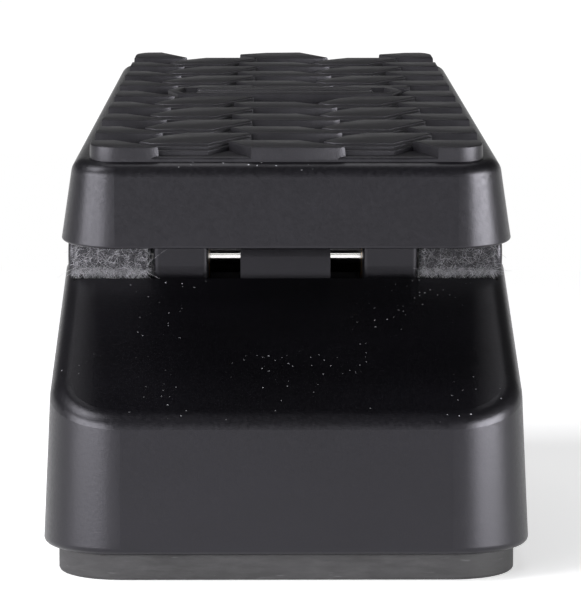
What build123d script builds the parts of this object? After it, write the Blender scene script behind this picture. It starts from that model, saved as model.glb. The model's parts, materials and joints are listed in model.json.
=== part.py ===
"""Compact rocker pedal for guitar effects (wah type): a treadle on a cross hinge turns a gear-driven
potentiometer inside a cast base and presses a footswitch at the end of its travel.

Frame: +X to the right, +Y towards the toe, +Z up, in millimetres. The origin is the middle of the
rubber pad's underside. The treadle is modelled in its rest pose, toe up by REST_TILT.
"""

from build123d import *
import math
import os

# ---- Driving dimensions -------------------------------------------------------------------------

BASE_LENGTH = 130.0
HEEL_WIDTH = 70.3  # of the casting's lip, at its heel end
WAIST_WIDTH = 74.1  # of the lip, from the hinge to the toe
HEEL_RADIUS = 12.0
TOE_RADIUS = 12.0
WAIST_BLEND = 120.0
BASE_DRAFT = 2.8  # degrees
BASE_WALL = 2.6
BASE_TOP_ROUND = 3.0

PAD_THICKNESS = 4.0
PAD_INSET = 2.2
PLATE_THICKNESS = 1.6
PLATE_LEDGE = 1.2
SLIP = 0.1  # gap round a part that is dropped into a recess
THREAD_SLIP = 0.05  # gap round a screw in its hole

HINGE_Y = -18.6
HINGE_Z = 44.15
HINGE_PIN_RADIUS = 3.0
HINGE_PIN_LENGTH = 68.4
RUNNING_CLEARANCE = 0.05
REST_TILT = 8.4  # degrees, toe up
TOE_DOWN = -20.0  # degrees from rest
HEEL_DOWN = 3.5  # degrees from rest

HEEL_EDGE_Z = 23.9  # where the heel face meets the sloping top
HEEL_SLOPE = 0.485
TOE_SLOPE = -0.21
CREST_ROUND = 10.0

TREADLE_LENGTH = 122.0  # at the rim
TREADLE_WIDTH = 64.8
TREADLE_DEPTH = 11.8
TREADLE_DRAFT = 9.2  # degrees
TREADLE_RADIUS = 8.2
TREADLE_WALL = 2.6
TREADLE_PLATE = 2.5
TREADLE_TOP_ROUND = 2.2
RIM_HEIGHT = 10.05  # of the treadle's rim above the hinge axis, square to the treadle
HEEL_REACH = 44.6  # from the hinge axis to the treadle's heel rim, along the treadle

MAT_WIDTH = 56.2
MAT_LENGTH = 114.8
MAT_SHEET = 0.7
BLOCK_HEIGHT = 1.4
ROW_PITCH = 13.2
COLUMN_PITCH = 13.2
MAT_ROWS = 9
MAT_RADIUS = 4.0

EAR_INNER = 12.2
EAR_OUTER = 20.8
EAR_RADIUS = 9.5
BARREL_HALF = 7.1
BARREL_RADIUS = 8.0
DRUM_INNER = 21.2
DRUM_OUTER = 33.4
DRUM_RADIUS = 6.5
PIN_BOSS_RADIUS = 5.4
PIN_BOSS_END = 34.6
PIN_BOSS_ROUND = 1.0
FELT_OUTER_RADIUS = 9.4
SHOE_RADIUS = 9.6
FELT_LEDGE_Z = 40.0
FELT_LEG = 2.2  # how far the felt hangs below the hinge axis
TROUGH_HEEL = 10.0  # from the hinge axis to the trough's heel wall
TROUGH_TOE = 12.3
FELT_TROUGH_TOE = 10.6
TROUGH_FLOOR_Z = 31.0
TROUGH_SKIN = 2.4
STOP_NOSE = 9.3
STOP_DROP = 7.5
STOP_GAP = 0.05  # left at the heel-down limit

LINK_ARM = 20.0  # from the hinge axis to the rack's link pin, level
LINK_RISE = 2.1
LINK_PIN_RADIUS = 1.5
LINK_X = -5.0
RACK_THICKNESS = 3.0
CHEEK = 2.7
CHEEK_GAP = 0.3

GEAR_MODULE = 0.8
PINION_TEETH = 12
PRESSURE_ANGLE = 20.0  # degrees
RACK_ADDENDUM = 0.65  # in modules, short so that a small pinion needs no undercut
PINION_ADDENDUM = 0.9
GEAR_DEDENDUM = 1.15
BACKLASH = 0.12
RACK_PITCH_Y = 0.6
PINION_Z = 18.8
RACK_BACK_Y = -2.4

JACK_Y = 24.0
JACK_Z = 17.3
JACK_BORE_RADIUS = 3.2
JACK_BORE_END = 7.0
JACK_BODY = 15.0
JACK_BODY_INNER = 6.2
JACK_SEAT = 35.4
JACK_MOUTH = 39.2
JACK_BUSHING_RADIUS = 4.7
JACK_WASHER = 0.8
JACK_NUT = 2.2

POWER_Y = 43.0
POWER_Z = 15.8
POWER_SEAT = 35.6
POWER_MOUTH = 38.0
POWER_BORE_RADIUS = 2.85
POWER_PIN_RADIUS = 1.05

SWITCH_Y = 46.0
SWITCH_SEAT_Z = 32.0
SWITCH_GAP = 0.26  # left over the plunger at the toe-down limit
SWITCH_BODY = 16.0

BOARD_WIDTH = 49.0
BOARD_HEEL = -58.0
BOARD_TOE = -12.0
BOARD_Z = 9.4
BOARD_THICKNESS = 1.6

BRACKET_X = -12.0  # of the sheet's outer face
BRACKET_SHEET = 1.6
BRACKET_TOP_Z = 34.8
BRACKET_SCREW_X = -17.0
BRACKET_SCREW_YS = (0.5, 10.5)

SCREW_PLACES = [(-28.6, -54.6), (28.6, -54.6), (-29.5, 53.0), (29.5, 53.0)]
BOARD_SCREW_PLACES = [(x, y) for x in (-20.5, 20.5) for y in (-53.5, -16.0)]

M3 = 1.5  # screw radius
HEAD_RADIUS = 2.9
LIP_ROUND = 1.0
BASE_ROOF = 2.8
PAD_ROUND = 0.5
PAD_HOLE = 3.8
PIN_SCREW_RADIUS = 2.0
PIN_SCREW_LENGTH = 8.4
BUSHING_RADIUS = 4.2
EAR_EDGE_ROUND = 0.9
SHOE_INNER = 21.6
SHOE_OUTER = 31.0
SHOE_HALF = 9.0
SHOE_FOOT = 5.0
CHEEK_RADIUS = 3.5
RIM_ROUND = 0.3
RIB_HALF = 19.0
TOE_RIB = (58.4, 68.4)
LONG_RIB = 2.4
LONG_RIB_HEEL = 40.0
BADGE_LENGTH = 39.0
BADGE_WIDTH = 9.0
BADGE_ROW = 4.45
BADGE_HEIGHT = 1.6
BADGE_GAP = 0.6
SMALLEST_BLOCK = 12.0  # mm2; smaller cut-offs at the mat's edge are left out
LINK_SLIP = 0.08
LINK_PLAY = 0.9
RACK_FOOT_Z = 13.2
RACK_TEETH = (-2, 5)
PINION_X = (-7.4, -2.2)
SHAFT_RADIUS = 3.0
SHAFT_X = (-19.0, -1.8)
POT_RADIUS = 8.0
POT_DEPTH = 9.0
POT_BUSHING_RADIUS = 3.9
BUSHING_END_X = -7.9
POT_NUT = 2.2
BRACKET_Y = (-3.7, 14.0)
BRACKET_FOOT_Z = 9.8
BRACKET_FLANGE_X = -22.0
GUIDE_END_X = -1.6
GUIDE_Y = (-3.7, 0.9)
GUIDE_Z = (26.2, 31.8)
GUIDE_SCREW = (-1.2, 29.0)
ROOF_UNDER_BRACKET = 37.3
INDUCTOR = (0.0, -42.0)
INDUCTOR_HEIGHT = 9.0
INDUCTOR_FLANGE = 1.6
INDUCTOR_RADIUS = 7.0
INDUCTOR_HUB = 3.2
VOICING = (-2.0, -56.0)
SLOT_X = (-10.2, 0.2)
SLOT_Y = (-3.9, 6.0)
BUMPER_X = 14.0
BUMPER_RADIUS = 4.0
BUMPER_SEAT_Z = 31.2
BUMPER_GAP = 0.46
BUMPER_DOME = 12.0
SWITCH_SEAT_RADIUS = 8.6
SWITCH_PANEL_Z = 28.4
SWITCH_BUSHING_RADIUS = 6.0
SWITCH_BUSHING_TOP = 36.8
SWITCH_PLUNGER_RADIUS = 3.9
SWITCH_PLUNGER_DOME = 6.0
SWITCH_PLUNGER_SHOULDER = 3.0
SWITCH_FOOT_Z = 13.2
SWITCH_CASE_Z = 25.6
SWITCH_NUT_FLATS = 7.2
SWITCH_NUT = 2.2
SWITCH_WASHER = 0.8
JACK_BODY_OUTER = 33.2
JACK_SEAT_RADIUS = 8.2
JACK_NUT_FLATS = 6.5
POWER_CASE_X = 32.8
POWER_BORE_END = 24.0
POWER_BUSHING_RADIUS = 4.4
POWER_SEAT_RADIUS = 6.8
POWER_NUT_FLATS = 5.6

# ---- Values worked out from them ----------------------------------------------------------------

HALF = BASE_LENGTH / 2
LIP_Z = PAD_THICKNESS
PLATE_TOP = LIP_Z + PLATE_THICKNESS
BOARD_TOP = BOARD_Z + BOARD_THICKNESS
DRAFT_RATE = math.tan(math.radians(BASE_DRAFT))
RIM_TOP = RIM_HEIGHT + TREADLE_DEPTH
PLATE_UNDER = RIM_TOP - TREADLE_PLATE
PINION_RADIUS = GEAR_MODULE * PINION_TEETH / 2
PINION_Y = RACK_PITCH_Y + PINION_RADIUS
LINK_Y = HINGE_Y + LINK_ARM
LINK_Z = HINGE_Z + LINK_RISE
CREST_Y = HINGE_Y + 2.5
CREST_Z = HEEL_EDGE_Z + HEEL_SLOPE * (CREST_Y + HALF - 1.4)
MAT_HEEL = (TREADLE_LENGTH - MAT_LENGTH) / 2 - HEEL_REACH
TREADLE_PLACE = Pos(0, HINGE_Y, HINGE_Z) * Rot(REST_TILT, 0, 0)
HEEL_DOWN_TILT = math.radians(REST_TILT + HEEL_DOWN)
TOE_DOWN_TILT = -math.radians(REST_TILT + TOE_DOWN)
STOP_FACE = STOP_NOSE * math.cos(HEEL_DOWN_TILT) + STOP_DROP * math.sin(HEEL_DOWN_TILT) + STOP_GAP
TOE_DOWN_REACH = (SWITCH_Y - HINGE_Y) * math.tan(TOE_DOWN_TILT)
RIM_AT_SWITCH = HINGE_Z + RIM_HEIGHT / math.cos(TOE_DOWN_TILT) - TOE_DOWN_REACH
SWITCH_TOP_Z = RIM_AT_SWITCH - SWITCH_GAP
BUMPER_TOP_Z = RIM_AT_SWITCH - BUMPER_GAP


# ---- Helpers ------------------------------------------------------------------------------------

def span(x0, x1, y0, y1, z0, z1):
    """A box between two corners."""
    size = (abs(x1 - x0), abs(y1 - y0), abs(z1 - z0))
    return Pos((x0 + x1) / 2, (y0 + y1) / 2, (z0 + z1) / 2) * Box(*size)


def post(x, y, z0, z1, radius):
    """An upright cylinder."""
    return Pos(x, y, (z0 + z1) / 2) * Cylinder(radius, z1 - z0)


def rod(x0, x1, y, z, radius):
    """A cylinder along X."""
    return Pos((x0 + x1) / 2, y, z) * Rot(0, 90, 0) * Cylinder(radius, abs(x1 - x0))


def tube(x0, x1, y, z, outer, inner):
    return rod(x0, x1, y, z, outer) - rod(x0 - 1, x1 + 1, y, z, inner)


def hex_nut(radius, thickness, hole):
    """A nut on the XY plane with chamfered corners; radius is to its flats."""
    nut = extrude(RegularPolygon(radius, 6, major_radius=False), thickness)
    corner = radius * 1.06
    upward = (Align.CENTER, Align.CENTER, Align.MIN)
    cone = Cone(corner + thickness, corner, thickness, align=upward)
    return (nut & cone) - Cylinder(hole, 4 * thickness)


def across(profile, x0, x1):
    """Extrude a YZ outline, given as (y, z) points, from x0 to x1."""
    face = make_face(Polyline(*[(x0, y, z) for y, z in profile], close=True))
    return extrude(face, amount=x1 - x0, dir=(1, 0, 0))


def mirrored(part):
    return part + mirror(part, Plane.YZ)


def together(parts):
    """Separate solids kept in one node."""
    return Compound(children=list(parts))


def save(name, part):
    export_step(part, f"parts/{name}.step")


# ---- Base ---------------------------------------------------------------------------------------

def base_outline(inset=0.0):
    """The lip's outline, narrower at the heel, brought in all round by inset."""
    outline = Polygon(
        (-HEEL_WIDTH / 2, -HALF),
        (HEEL_WIDTH / 2, -HALF),
        (WAIST_WIDTH / 2, HINGE_Y),
        (WAIST_WIDTH / 2, HALF),
        (-WAIST_WIDTH / 2, HALF),
        (-WAIST_WIDTH / 2, HINGE_Y),
        align=None,
    )
    corners = outline.vertices().sort_by(Axis.Y)
    outline = fillet(corners[0:2], HEEL_RADIUS)
    outline = fillet(outline.vertices().sort_by(Axis.Y)[-2:], TOE_RADIUS)
    waist = outline.vertices().filter_by_position(Axis.Y, HINGE_Y - 0.1, HINGE_Y + 0.1)
    outline = fillet(waist, WAIST_BLEND)
    return offset(outline, -inset) if inset else outline


def roof_profile(drop=0.0):
    """The base's side view: a slope up from the heel, a rounded crest, a shallower slope down."""
    heel_y, toe_y = -HALF - 10, HALF + 10
    heel_z = CREST_Z + HEEL_SLOPE * (heel_y - CREST_Y) - drop
    toe_z = CREST_Z + TOE_SLOPE * (toe_y - CREST_Y) - drop
    outline = make_face(
        Polyline(
            (0, heel_y, -20),
            (0, toe_y, -20),
            (0, toe_y, toe_z),
            (0, CREST_Y, CREST_Z - drop),
            (0, heel_y, heel_z),
            close=True,
        )
    )
    return outline


def base_form(inset, drop, bottom):
    """The base's drafted form, brought in by inset and lowered by drop."""
    height = 60.0
    block = extrude(Pos(0, 0, bottom) * base_outline(inset), height, taper=BASE_DRAFT)
    roof = extrude(roof_profile(drop), 60, both=True, dir=(1, 0, 0))
    crest = roof.edges().filter_by(Axis.X).sort_by(Axis.Z)[-1]
    return block & fillet(crest, CREST_ROUND)


def trough():
    """The cross slot that the treadle's ears swing in, and the shallower seats of the felt pads."""
    heel, top = HINGE_Y - TROUGH_HEEL, CREST_Z + 5
    ears = span(-DRUM_INNER, DRUM_INNER, heel, HINGE_Y + TROUGH_TOE, TROUGH_FLOOR_Z, top)
    felts = span(-DRUM_OUTER, DRUM_OUTER, heel, HINGE_Y + FELT_TROUGH_TOE, FELT_LEDGE_Z, top)
    return ears + felts


def hinge_supports():
    """The middle barrel and the two outer drums that carry the hinge pin, with a boss at each end."""
    half = BARREL_HALF
    barrel = rod(-half, half, HINGE_Y, HINGE_Z, BARREL_RADIUS)
    neck = span(-half, half, HINGE_Y - BARREL_RADIUS, HINGE_Y + BARREL_RADIUS, TROUGH_FLOOR_Z, HINGE_Z)
    drum = rod(DRUM_INNER, DRUM_OUTER, HINGE_Y, HINGE_Z, DRUM_RADIUS)
    boss = rod(DRUM_OUTER, PIN_BOSS_END, HINGE_Y, HINGE_Z, PIN_BOSS_RADIUS)
    boss = fillet(boss.edges().sort_by(Axis.X)[-1], PIN_BOSS_ROUND)
    return barrel + neck + mirrored(drum + boss)


def base_posts():
    """Screw posts for the bottom plate, the board and the potentiometer's bracket."""
    reach = CREST_Z
    posts = [post(x, y, PLATE_TOP, reach, 3.6) for x, y in SCREW_PLACES]
    posts += [post(x, y, BOARD_TOP, reach, 3.0) for x, y in BOARD_SCREW_PLACES]
    posts += [post(BRACKET_SCREW_X, y, BRACKET_TOP_Z, reach, 3.2) for y in BRACKET_SCREW_YS]
    return posts


def base_screw_holes():
    radius = M3 + THREAD_SLIP
    holes = [post(x, y, LIP_Z, PLATE_TOP + 10, radius) for x, y in SCREW_PLACES]
    holes += [post(x, y, BOARD_Z, BOARD_TOP + 8, radius) for x, y in BOARD_SCREW_PLACES]
    holes += [post(BRACKET_SCREW_X, y, BRACKET_TOP_Z, ROOF_UNDER_BRACKET, radius) for y in BRACKET_SCREW_YS]
    return holes


def base_housing():
    """The cast shell: sides, roof with the hinge trough, screw posts and the openings in its walls."""
    shell = base_form(0, 0, LIP_Z)
    top_loop = [
        edge
        for edge in shell.edges()
        if edge.bounding_box().min.Z > LIP_Z + 1
        and not (abs(edge.center().Y - CREST_Y) < CREST_ROUND and abs(edge.tangent_at(0.5).X) > 0.9)
    ]
    shell = fillet(top_loop, BASE_TOP_ROUND)
    lip_loop = [edge for edge in shell.edges() if edge.bounding_box().max.Z < LIP_Z + 0.01]
    shell = fillet(lip_loop, LIP_ROUND)
    outside = shell

    hollow = base_form(BASE_WALL, BASE_ROOF, LIP_Z)
    trough_block = span(
        -HALF, HALF, HINGE_Y - TROUGH_HEEL - TROUGH_SKIN, HINGE_Y + TROUGH_TOE + TROUGH_SKIN,
        TROUGH_FLOOR_Z - TROUGH_SKIN, CREST_Z + 5,
    )
    shell = shell - (hollow - trough_block)
    for piece in base_posts():
        shell = shell + (piece & outside)
    shell = shell + (post(0, SWITCH_Y, SWITCH_PANEL_Z, SWITCH_SEAT_Z, SWITCH_SEAT_RADIUS))
    for side in (-1, 1):
        pad = post(side * BUMPER_X, SWITCH_Y, BUMPER_SEAT_Z - 3, BUMPER_SEAT_Z, BUMPER_RADIUS + 1)
        shell = shell + pad

    shell = shell - trough() + hinge_supports()
    shell = shell - rod(-HALF, HALF, HINGE_Y, HINGE_Z, HINGE_PIN_RADIUS + RUNNING_CLEARANCE)
    shell = shell - post(0, HINGE_Y, 20, HINGE_Z, PIN_SCREW_RADIUS + THREAD_SLIP)

    shell = shell - extrude(Pos(0, 0, LIP_Z) * base_outline(BASE_WALL - PLATE_LEDGE), PLATE_THICKNESS)
    shell = shell - span(*SLOT_X, *SLOT_Y, 20, CREST_Z + 5)
    shell = shell - post(0, SWITCH_Y, SWITCH_SEAT_Z, SWITCH_SEAT_Z + 10, SWITCH_SEAT_RADIUS)
    shell = shell - post(0, SWITCH_Y, 20, SWITCH_SEAT_Z + 1, SWITCH_BUSHING_RADIUS + SLIP)
    for side in (-1, 1):
        x, top = side * BUMPER_X, BUMPER_SEAT_Z + 10
        shell = shell - post(x, SWITCH_Y, BUMPER_SEAT_Z, top, BUMPER_RADIUS + SLIP)
        shell = shell - rod(side * 25, side * 45, JACK_Y, JACK_Z, JACK_BUSHING_RADIUS + SLIP)
        shell = shell - rod(side * JACK_SEAT, side * 45, JACK_Y, JACK_Z, JACK_SEAT_RADIUS)
    shell = shell - rod(25, 45, POWER_Y, POWER_Z, POWER_BUSHING_RADIUS + SLIP)
    shell = shell - rod(POWER_SEAT, 45, POWER_Y, POWER_Z, POWER_SEAT_RADIUS)
    for hole in base_screw_holes():
        shell = shell - hole
    return shell


def bottom_plate():
    plate = extrude(Pos(0, 0, LIP_Z) * base_outline(BASE_WALL - PLATE_LEDGE + SLIP), PLATE_THICKNESS)
    for x, y in SCREW_PLACES:
        plate = plate - screw_seat(x, y)
    return plate


def screw_seat(x, y):
    """A countersunk hole from below through the bottom plate."""
    upward = (Align.CENTER, Align.CENTER, Align.MIN)
    cone = Cone(HEAD_RADIUS + SLIP, M3 + SLIP, PLATE_THICKNESS, align=upward)
    return Pos(x, y, LIP_Z) * cone


def plate_screw(x, y):
    head = Cone(HEAD_RADIUS, M3, PLATE_THICKNESS, align=(Align.CENTER, Align.CENTER, Align.MIN))
    shank = post(0, 0, PLATE_THICKNESS, PLATE_THICKNESS + 8, M3)
    cross = span(-1.5, 1.5, -0.35, 0.35, -1, 0.8) + span(-0.35, 0.35, -1.5, 1.5, -1, 0.8)
    return Pos(x, y, LIP_Z) * (head + shank - cross)


def rubber_base_pad():
    pad = extrude(base_outline(PAD_INSET), PAD_THICKNESS)
    rims = [edge for edge in pad.edges() if edge.bounding_box().size.Z < 0.01]
    pad = fillet(rims, PAD_ROUND)
    for x, y in SCREW_PLACES:
        pad = pad - post(x, y, -1, PAD_THICKNESS + 1, PAD_HOLE)
    return pad


def felt_pad(side):
    """A felt half ring wrapped over a drum, its edges hanging a little below the axis."""
    x0, x1 = DRUM_INNER + 0.3, DRUM_OUTER - 0.2
    ring = tube(x0, x1, HINGE_Y, HINGE_Z, FELT_OUTER_RADIUS, DRUM_RADIUS)
    upper = ring & span(x0, x1, HINGE_Y - 20, HINGE_Y + 20, HINGE_Z, HINGE_Z + 20)
    pad = upper
    for way in (-1, 1):
        inner, outer = HINGE_Y + way * DRUM_RADIUS, HINGE_Y + way * FELT_OUTER_RADIUS
        pad = pad + span(x0, x1, inner, outer, HINGE_Z - FELT_LEG, HINGE_Z)
    return pad if side > 0 else mirror(pad, Plane.YZ)


def heel_stop_bumpers():
    """Rubber strips on the trough's toe wall that the ears' noses meet when the heel is down."""
    strip = span(
        EAR_INNER + 0.7, EAR_OUTER - 0.6, HINGE_Y + STOP_FACE, HINGE_Y + TROUGH_TOE,
        TROUGH_FLOOR_Z + 1, HINGE_Z - 3.5,
    )
    edges = strip.edges().filter_by(Axis.Z).group_by(Axis.Y)[0]
    strip = fillet(edges, 0.6)
    return together([strip, mirror(strip, Plane.YZ)])


def toe_bumpers():
    """Domed rubber studs that the treadle's toe rib comes down on."""
    stud = post(BUMPER_X, SWITCH_Y, BUMPER_SEAT_Z, BUMPER_TOP_Z, BUMPER_RADIUS)
    dome = Pos(BUMPER_X, SWITCH_Y, BUMPER_TOP_Z - BUMPER_DOME) * Sphere(BUMPER_DOME)
    stud = stud & dome
    return together([stud, mirror(stud, Plane.YZ)])


# ---- Hinge --------------------------------------------------------------------------------------

def hinge_pin():
    half = HINGE_PIN_LENGTH / 2
    pin = rod(-half, half, HINGE_Y, HINGE_Z, HINGE_PIN_RADIUS)
    ends = [edge for edge in pin.edges() if edge.geom_type == GeomType.CIRCLE]
    return chamfer(ends, 0.5)


def hinge_bushing(side):
    """A plain sleeve pressed into one ear of the treadle."""
    bore = HINGE_PIN_RADIUS + RUNNING_CLEARANCE
    sleeve = tube(EAR_INNER, EAR_OUTER, HINGE_Y, HINGE_Z, BUSHING_RADIUS, bore)
    return sleeve if side > 0 else mirror(sleeve, Plane.YZ)


def pin_set_screw():
    tip = HINGE_Z - HINGE_PIN_RADIUS
    screw = post(0, HINGE_Y, tip - PIN_SCREW_LENGTH, tip, PIN_SCREW_RADIUS)
    socket = RegularPolygon(1.0, 6, major_radius=False)
    return screw - extrude(Pos(0, HINGE_Y, tip - PIN_SCREW_LENGTH) * socket, 2.0)


# ---- Treadle, in its own frame: X across, Y from heel to toe, Z square to it, hinge axis at 0 --------

def treadle_outline(width, length, radius):
    middle = TREADLE_LENGTH / 2 - HEEL_REACH
    return Pos(0, middle, 0) * RectangleRounded(width, length, radius)


def ear():
    """A lug round the hinge pin, rising to the treadle's plate, with a nose for the heel-down stop."""
    round_end = rod(EAR_INNER, EAR_OUTER, 0, 0, EAR_RADIUS)
    web = span(EAR_INNER, EAR_OUTER, -EAR_RADIUS, EAR_RADIUS, 0, PLATE_UNDER + 0.5)
    nose = span(EAR_INNER, EAR_OUTER, 0, STOP_NOSE, -STOP_DROP, 0)
    lug = round_end + web + nose
    uprights = [
        edge for edge in lug.edges().filter_by(Axis.Z)
        if edge.center().Y < -EAR_RADIUS + 0.1
    ]
    lug = fillet(uprights, EAR_EDGE_ROUND)
    return lug - rod(0, HALF, 0, 0, BUSHING_RADIUS)


def shoe():
    """A block with a hollow face that runs over one felt pad."""
    block = span(SHOE_INNER, SHOE_OUTER, -SHOE_HALF, SHOE_HALF, SHOE_FOOT, PLATE_UNDER + 0.5)
    return block - rod(0, HALF, 0, 0, SHOE_RADIUS)


def link_lug():
    """Two cheeks that hold the rack's link pin."""
    y, z = link_in_treadle()
    cheeks = []
    for way in (-1, 1):
        near = LINK_X + way * (RACK_THICKNESS / 2 + CHEEK_GAP)
        far = near + way * CHEEK
        cheek = rod(near, far, y, z, CHEEK_RADIUS)
        cheek = cheek + span(near, far, y - CHEEK_RADIUS, y + CHEEK_RADIUS, z, PLATE_UNDER + 0.5)
        cheeks.append(cheek - rod(-HALF, HALF, y, z, LINK_PIN_RADIUS))
    return cheeks


def link_in_treadle():
    """The link pin's place in the treadle's frame."""
    tilt = math.radians(REST_TILT)
    y = LINK_ARM * math.cos(tilt) + LINK_RISE * math.sin(tilt)
    z = LINK_RISE * math.cos(tilt) - LINK_ARM * math.sin(tilt)
    return y, z


def treadle_casting():
    """An upside-down tray with drafted sides, its lugs, felt shoes and ribs."""
    rim = Pos(0, 0, RIM_HEIGHT)
    outer = treadle_outline(TREADLE_WIDTH, TREADLE_LENGTH, TREADLE_RADIUS)
    block = extrude(rim * outer, TREADLE_DEPTH, taper=TREADLE_DRAFT)
    top_loop = [edge for edge in block.edges() if edge.bounding_box().min.Z > RIM_TOP - 0.01]
    block = fillet(top_loop, TREADLE_TOP_ROUND)
    rim_loop = [edge for edge in block.edges() if edge.bounding_box().max.Z < RIM_HEIGHT + 0.01]
    block = fillet(rim_loop, RIM_ROUND)
    walls = 2 * TREADLE_WALL
    inner = treadle_outline(TREADLE_WIDTH - walls, TREADLE_LENGTH - walls, TREADLE_RADIUS - TREADLE_WALL)
    pocket = extrude(rim * inner, TREADLE_DEPTH - TREADLE_PLATE, taper=TREADLE_DRAFT)
    casting = block - pocket
    casting = casting + mirrored(ear()) + mirrored(shoe())
    for cheek in link_lug():
        casting = casting + cheek
    rib_top = PLATE_UNDER + 0.5
    casting = casting + span(-RIB_HALF, RIB_HALF, TOE_RIB[0], TOE_RIB[1], RIM_HEIGHT, rib_top)
    for way in (-1, 1):
        x = way * (EAR_INNER + EAR_OUTER) / 2
        near, far = x - LONG_RIB / 2, x + LONG_RIB / 2
        casting = casting + span(near, far, -LONG_RIB_HEEL, TOE_RIB[0] + 1, RIM_HEIGHT + 2, rib_top)
    return TREADLE_PLACE * casting


def block_outline(column):
    """A tread block: leaning left in the first, middle and last columns, leaning right between them."""
    if column % 2 == 0:
        points = [(-5.0, 0.0), (7.2, 0.0), (8.4, 0.6), (1.8, 6.8), (-6.6, 6.8), (-8.4, 5.8)]
    else:
        points = [
            (-8.0, 5.7), (-6.3, 3.8), (2.1, 3.9), (8.2, 12.6), (7.6, 13.6), (-1.4, 13.6), (-4.7, 10.8),
        ]
    return Polygon(*points, align=None)


def badge_outline(grow=0.0):
    """A bar with pointed ends, across the middle of the tread."""
    x, y = BADGE_LENGTH / 2 + grow, BADGE_WIDTH / 2 + grow
    tip = x - BADGE_WIDTH / 5
    outline = Polygon((-x, 0), (-tip, -y), (tip, -y), (x, 0), (tip, y), (-tip, y), align=None)
    return Pos(0, MAT_HEEL + BADGE_ROW * ROW_PITCH, 0) * outline


def tread_mat():
    """A rubber sheet with rows of raised blocks, cut off at the sheet's edge."""
    outline = treadle_outline(MAT_WIDTH, MAT_LENGTH, MAT_RADIUS)
    mat = extrude(Pos(0, 0, RIM_TOP) * outline, MAT_SHEET)
    blocks = Sketch()
    for column in range(-2, 3):
        rows = MAT_ROWS if column % 2 == 0 else MAT_ROWS - 1
        for row in range(rows):
            start = MAT_HEEL + row * ROW_PITCH
            blocks = blocks + Pos(column * COLUMN_PITCH, start, 0) * block_outline(column)
    blocks = (blocks & outline) - badge_outline(BADGE_GAP)
    for face in blocks.faces():
        if face.area > SMALLEST_BLOCK:
            mat = mat + extrude(Pos(0, 0, RIM_TOP) * face, MAT_SHEET + BLOCK_HEIGHT)
    return TREADLE_PLACE * mat


def tread_badge():
    """A plain raised bar with two grooves along it."""
    base = RIM_TOP + MAT_SHEET
    bar = extrude(Pos(0, 0, base) * badge_outline(), BADGE_HEIGHT)
    groove = Pos(0, MAT_HEEL + BADGE_ROW * ROW_PITCH, base + BADGE_HEIGHT)
    for way in (-1, 1):
        bar = bar - groove * Pos(0, way * BADGE_WIDTH / 5, 0) * Box(BADGE_LENGTH * 0.62, 0.9, 1.0)
    return TREADLE_PLACE * bar


def link_pin():
    reach = RACK_THICKNESS / 2 + CHEEK_GAP + CHEEK + 0.3
    return rod(LINK_X - reach, LINK_X + reach, LINK_Y, LINK_Z, LINK_PIN_RADIUS)


# ---- Rack, pinion and potentiometer ---------------------------------------------------------------

def gear_rack():
    """A toothed bar that slides up and down, with a slotted head round the link pin."""
    x0, x1 = LINK_X - RACK_THICKNESS / 2, LINK_X + RACK_THICKNESS / 2
    pitch = math.pi * GEAR_MODULE
    root = RACK_PITCH_Y - GEAR_DEDENDUM * GEAR_MODULE
    tip = RACK_PITCH_Y + RACK_ADDENDUM * GEAR_MODULE
    lean = math.tan(math.radians(PRESSURE_ANGLE))
    half_root = pitch / 4 - BACKLASH / 4 + GEAR_DEDENDUM * GEAR_MODULE * lean
    half_tip = pitch / 4 - BACKLASH / 4 - RACK_ADDENDUM * GEAR_MODULE * lean
    bar = span(x0, x1, RACK_BACK_Y, root, RACK_FOOT_Z, LINK_Z)
    for tooth in range(*RACK_TEETH):
        z = PINION_Z + (tooth + 0.5) * pitch
        outline = [(root - 0.2, z - half_root), (root, z - half_root), (tip, z - half_tip),
                   (tip, z + half_tip), (root, z + half_root), (root - 0.2, z + half_root)]
        bar = bar + across(outline, x0, x1)
    head = span(x0, x1, LINK_Y - 4.2, LINK_Y + 4.0, LINK_Z - 3.4, LINK_Z + 3.4)
    head = fillet(head.edges().filter_by(Axis.X), 1.5)
    slot_half = LINK_PIN_RADIUS + LINK_SLIP
    slot = span(
        x0 - 1, x1 + 1, LINK_Y - LINK_PLAY, LINK_Y + LINK_PLAY, LINK_Z - slot_half, LINK_Z + slot_half,
    )
    slot = slot + rod(x0 - 1, x1 + 1, LINK_Y - LINK_PLAY, LINK_Z, slot_half)
    slot = slot + rod(x0 - 1, x1 + 1, LINK_Y + LINK_PLAY, LINK_Z, slot_half)
    return bar + head - slot


def involute(base_radius, radius):
    """Polar angle of an involute where it reaches radius."""
    turn = math.sqrt((radius / base_radius) ** 2 - 1)
    return turn - math.atan(turn)


def pinion_gear():
    """An involute pinion pressed on the potentiometer's shaft."""
    base_radius = PINION_RADIUS * math.cos(math.radians(PRESSURE_ANGLE))
    root = PINION_RADIUS - GEAR_DEDENDUM * GEAR_MODULE
    tip = PINION_RADIUS + PINION_ADDENDUM * GEAR_MODULE
    half_tooth = math.pi / (2 * PINION_TEETH) - BACKLASH / (4 * PINION_RADIUS)
    at_pitch = involute(base_radius, PINION_RADIUS)
    radii = [base_radius + (tip - base_radius) * step / 5 for step in range(6)]
    flank = [(root, half_tooth + at_pitch)]
    flank += [(r, half_tooth + at_pitch - involute(base_radius, r)) for r in radii]
    outline = []
    for tooth in range(PINION_TEETH):
        middle = math.pi + tooth * 2 * math.pi / PINION_TEETH
        side = [(r, middle - angle) for r, angle in flank]
        side += [(r, middle + angle) for r, angle in reversed(flank)]
        outline += [(PINION_Y + r * math.cos(a), PINION_Z + r * math.sin(a)) for r, a in side]
    gear = across(outline, *PINION_X)
    return gear - rod(PINION_X[0] - 1, PINION_X[1] + 1, PINION_Y, PINION_Z, SHAFT_RADIUS)


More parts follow.
